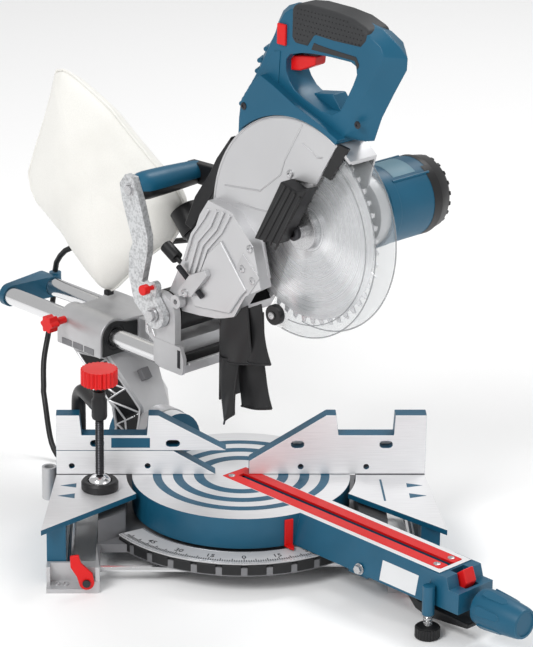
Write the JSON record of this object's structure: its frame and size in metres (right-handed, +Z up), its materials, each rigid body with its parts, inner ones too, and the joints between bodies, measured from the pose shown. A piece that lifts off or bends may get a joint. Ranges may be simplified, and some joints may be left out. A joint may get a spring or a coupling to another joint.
{
  "type": "sliding miter saw",
  "caption": "Sliding compound miter saw: rotary table with fences and side wings, tilting rail housing, chopping head with blade, guard, motor, handle and dust bag.",
  "frame": {"origin": "on the bench under the turntable's pivot, on the base's centre boss", "axes": "+X to the operator's right, +Y to the back, +Z up; the fence face lies on Y = 0"},
  "size_m": [0.5875, 0.6747, 0.644],
  "materials": {
    "blue_paint": "satin paint",
    "machined_aluminium": "machined, brushed",
    "cast_aluminium": "sand-cast, painted silver grey",
    "steel": "bright",
    "black_plastic": "moulded",
    "red_plastic": "moulded",
    "rubber": "moulded",
    "clear_plastic": "clear moulded",
    "bag_cloth": "woven cloth"
  },
  "bodies": {
    "base": {"base_casting": "cast_aluminium", "miter_scale": "machined_aluminium", "fence_lower_left": "machined_aluminium", "fence_right": "machined_aluminium", "left_cam_bolt": "black_plastic", "right_cam_bolt": "black_plastic", "cord_coil": "rubber", "cord_plug": "black_plastic"},
    "left_cam": {"left_cam_lever": "red_plastic"},
    "right_cam": {"right_cam_lever": "red_plastic"},
    "left_wing_table": {"left_wing": "blue_paint", "left_extension_rods": "steel"},
    "right_wing_table": {"right_wing": "blue_paint", "right_extension_rods": "steel"},
    "left_fence": {"fence_upper_left": "machined_aluminium"},
    "work_clamp": {"clamp_arm": "black_plastic"},
    "clamp_foot": {"clamp_pad": "rubber"},
    "clamp_knob": {"clamp_screw": "red_plastic"},
    "table": {"turntable": "blue_paint", "kerf_insert": "red_plastic", "bevel_clamp_plate": "blue_paint", "cord_lower": "rubber"},
    "miter_lock": {"miter_lock_knob": "blue_paint"},
    "detent": {"detent_lever": "black_plastic"},
    "detent_trigger": {"detent_release": "red_plastic"},
    "front_foot": {"levelling_foot": "black_plastic"},
    "bevel_lock": {"bevel_lock_lever": "black_plastic"},
    "tilt": {"tilt_arm": "cast_aluminium", "slide_housing": "cast_aluminium", "cord_middle": "rubber"},
    "rail_lock": {"rail_lock_knob": "red_plastic"},
    "slide_carriage": {"left_rail": "steel", "right_rail": "steel", "rail_end_cap": "blue_paint", "carriage": "cast_aluminium", "pivot_pin": "steel"},
    "head": {"head_casting": "cast_aluminium", "arbor_cover": "black_plastic", "gear_housing": "cast_aluminium", "motor_housing": "blue_paint", "motor_cap": "black_plastic", "handle_left": "blue_paint", "handle_right": "blue_paint", "carry_arm": "cast_aluminium", "carry_grip": "blue_paint", "carry_bracket": "black_plastic", "depth_stop": "black_plastic", "dust_chute": "black_plastic", "dust_bag": "bag_cloth", "dust_boot": "rubber", "cord_relief": "rubber", "cord_upper": "rubber"},
    "head_lock": {"head_lock_pin": "red_plastic"},
    "power_trigger": {"trigger": "red_plastic"},
    "lock_off": {"lock_button": "red_plastic"},
    "blade": {"saw_blade": "steel", "spindle": "steel"},
    "rotor": {"motor_rotor": "steel"},
    "guard": {"lower_guard": "clear_plastic"},
    "roller": {"guard_roller": "rubber"}
  },
  "joints": [
    {"name": "miter", "type": "hinge", "parent": "base", "child": "table", "pos_m": [0, 0, 0], "axis": [0, 0, 1], "range_deg": [-81, 5], "deforming": ["cord_lower"]},
    {"name": "left_wing_slide", "type": "slide", "parent": "base", "child": "left_wing_table", "axis": [-1, 0, 0], "range_m": [0, 0.12]},
    {"name": "right_wing_slide", "type": "slide", "parent": "base", "child": "right_wing_table", "axis": [1, 0, 0], "range_m": [0, 0.12]},
    {"name": "left_fence_slide", "type": "slide", "parent": "base", "child": "left_fence", "axis": [-1, 0, 0], "range_m": [0, 0.06]},
    {"name": "left_cam_turn", "type": "hinge", "parent": "base", "child": "left_cam", "pos_m": [-0.1725, -0.1595, 0.0145], "axis": [0, -1, 0], "range_deg": [0, 60]},
    {"name": "right_cam_turn", "type": "hinge", "parent": "base", "child": "right_cam", "pos_m": [0.1725, -0.1595, 0.0145], "axis": [0, -1, 0], "range_deg": [0, 30]},
    {"name": "clamp_swivel", "type": "hinge", "parent": "base", "child": "work_clamp", "pos_m": [-0.1855, 0.03, 0.0747], "axis": [0, 0, 1], "range_deg": [-20, 20]},
    {"name": "clamp_feed", "type": "slide", "parent": "work_clamp", "child": "clamp_foot", "axis": [0, 0, 1], "range_m": [0, 0.03]},
    {"name": "clamp_turn", "type": "hinge", "parent": "clamp_foot", "child": "clamp_knob", "pos_m": [-0.1602, -0.04, 0.1], "axis": [0, 0, 1], "range_deg": [0, 2700]},
    {"name": "miter_lock_turn", "type": "hinge", "parent": "table", "child": "miter_lock", "pos_m": [0.24892, -0.27645, 0.042], "axis": [0.6691, -0.7431, 0], "range_deg": [0, 180]},
    {"name": "detent_squeeze", "type": "hinge", "parent": "table", "child": "detent", "pos_m": [0.14052, -0.15606, 0.04], "axis": [-0.7431, -0.6691, 0], "range_deg": [0, 4], "stiffness_Nm_per_rad": 2, "springref_deg": -8.59},
    {"name": "detent_release_press", "type": "hinge", "parent": "table", "child": "detent_trigger", "pos_m": [0.22918, -0.25453, 0.05], "axis": [-0.7431, -0.6691, 0], "range_deg": [0, 8], "stiffness_Nm_per_rad": 0.1, "springref_deg": -5.73},
    {"name": "levelling_foot_screw", "type": "slide", "parent": "table", "child": "front_foot", "axis": [0, 0, 1], "range_m": [0, 0.01]},
    {"name": "bevel_lock_turn", "type": "hinge", "parent": "table", "child": "bevel_lock", "pos_m": [-0.13048, 0.14491, 0.0745], "axis": [0.6691, -0.7431, 0], "range_deg": [0, 40]},
    {"name": "bevel", "type": "hinge", "parent": "table", "child": "tilt", "pos_m": [0, 0, 0.0745], "axis": [-0.6691, 0.7431, 0], "range_deg": [-22, 2]},
    {"name": "rail_lock_turn", "type": "hinge", "parent": "tilt", "child": "rail_lock", "pos_m": [-0.21663, 0.13597, 0.209], "axis": [0.7431, 0.6691, 0], "range_deg": [0, 180]},
    {"name": "carriage_slide", "type": "slide", "parent": "tilt", "child": "slide_carriage", "axis": [0.6691, -0.7431, 0], "range_m": [-0.065, 0.1], "deforming": ["cord_middle"]},
    {"name": "chop", "type": "hinge", "parent": "slide_carriage", "child": "head", "pos_m": [-0.05888, 0.0654, 0.258], "axis": [0.7431, 0.6691, 0], "range_deg": [0, 56.3], "stiffness_Nm_per_rad": 8, "springref_deg": -148.97, "deforming": ["cord_upper", "dust_boot"]},
    {"name": "head_lock_push", "type": "slide", "parent": "head", "child": "head_lock", "axis": [0.7431, 0.6691, 0], "range_m": [0, 0.006]},
    {"name": "trigger_squeeze", "type": "hinge", "parent": "head", "child": "power_trigger", "pos_m": [0.04981, -0.04934, 0.57], "axis": [-0.7431, -0.6691, 0], "range_deg": [0, 4], "stiffness_Nm_per_rad": 0.3, "springref_deg": -5.73},
    {"name": "lock_button_press", "type": "slide", "parent": "head", "child": "lock_off", "axis": [0.7431, 0.6691, 0], "range_m": [0, 0.0022], "stiffness_N_per_m": 300, "springref_m": -0.001},
    {"name": "blade_spin", "type": "hinge", "parent": "head", "child": "blade", "pos_m": [0.06604, -0.07335, 0.3947], "axis": [0.7431, 0.6691, 0], "continuous": true},
    {"name": "rotor_spin", "type": "hinge", "parent": "head", "child": "rotor", "pos_m": [0.17368, -0.04344, 0.422], "axis": [0.7431, 0.6691, 0], "continuous": true},
    {"name": "guard_lift", "type": "hinge", "parent": "head", "child": "guard", "pos_m": [0.06604, -0.07335, 0.3947], "axis": [-0.7431, -0.6691, 0], "range_deg": [0, 120]},
    {"name": "roller_spin", "type": "hinge", "parent": "guard", "child": "roller", "pos_m": [0.03211, -0.07303, 0.29531], "axis": [0.7431, 0.6691, 0], "continuous": true}
  ],
  "couplings": [
    {"joint": "clamp_feed", "follows": "clamp_turn", "m_per_rad": 0.00063662},
    {"joint": "rotor_spin", "follows": "blade_spin", "ratio": -5.2778},
    {"joint": "guard_lift", "follows": "chop", "ratio": 2.1314}
  ]
}
